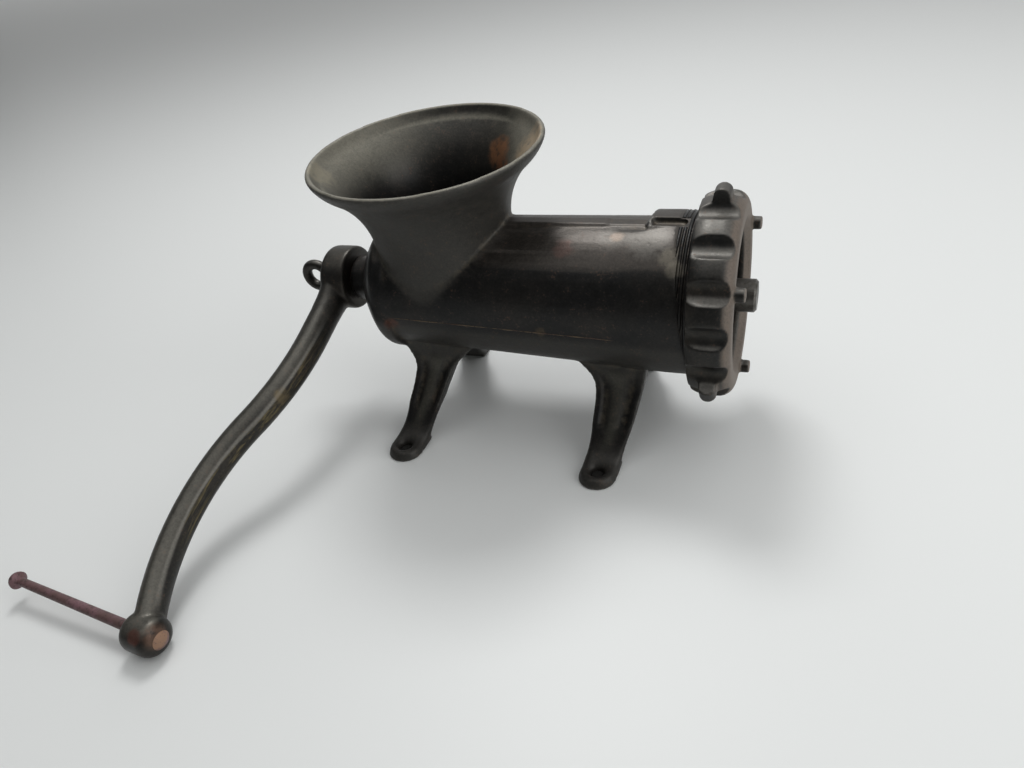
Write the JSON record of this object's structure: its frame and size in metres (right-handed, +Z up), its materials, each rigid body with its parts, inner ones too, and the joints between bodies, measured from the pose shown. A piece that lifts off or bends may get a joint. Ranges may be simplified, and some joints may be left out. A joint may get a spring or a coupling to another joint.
{
  "type": "hand-cranked meat grinder",
  "caption": "Hand-cranked iron meat grinder on spread bolt-down legs, with a flared hopper, feed worm, knife, hole plate, scalloped ring nut and a bowed crank.",
  "frame": {"origin": "on the table, at the centre of the four foot holes, straight under the worm axis", "axes": "+X along the worm axis towards the ring nut, +Z up, -Y the side on which the crank rests"},
  "size_m": [0.4504, 0.3726, 0.2154],
  "materials": {
    "body_iron": "dark, lightly rusted casting, semi-matt",
    "ring_iron": "dark iron, worn bright on its edges",
    "crank_iron": "dark forged iron, worn along the arm",
    "worm_iron": "tinned casting gone dull grey",
    "plate_steel": "ground steel, dull",
    "knife_steel": "ground steel, dull",
    "stud_steel": "turned steel, stained",
    "spindle_steel": "maroon-brown stained steel, matt",
    "screw_iron": "dark forged iron, semi-matt",
    "washer_steel": "plain steel, dull"
  },
  "bodies": {
    "housing": {"housing": "body_iron", "plate_key": "washer_steel", "thrust_washer": "washer_steel"},
    "drive": {"feed_worm": "worm_iron", "worm_stud": "stud_steel", "knife": "knife_steel", "crank_arm": "crank_iron", "grip_spindle": "spindle_steel"},
    "plate": {"hole_plate": "plate_steel"},
    "ring": {"ring_nut": "ring_iron"},
    "screw_washer": {"screw_washer": "washer_steel"},
    "thumb_screw": {"thumb_screw": "screw_iron"}
  },
  "joints": [
    {"name": "crank_turn", "type": "hinge", "parent": "housing", "child": "drive", "pos_m": [0, 0, 0.109], "axis": [1, 0, 0], "continuous": true},
    {"name": "plate_slide", "type": "slide", "parent": "housing", "child": "plate", "axis": [1, 0, 0], "range_m": [0, 0.0195]},
    {"name": "ring_turn", "type": "hinge", "parent": "plate", "child": "ring", "pos_m": [0.148, 0, 0.109], "axis": [1, 0, 0], "range_deg": [0, 2340]},
    {"name": "washer_slide", "type": "slide", "parent": "drive", "child": "screw_washer", "axis": [-1, 0, 0], "range_m": [0, 0.0175]},
    {"name": "screw_turn", "type": "hinge", "parent": "screw_washer", "child": "thumb_screw", "pos_m": [-0.152, 0, 0.109], "axis": [-1, 0, 0], "range_deg": [0, 3600]}
  ],
  "couplings": [
    {"joint": "plate_slide", "follows": "ring_turn", "m_per_rad": 0.00047746},
    {"joint": "screw_turn", "follows": "washer_slide", "rad_per_m": 3590.4}
  ]
}
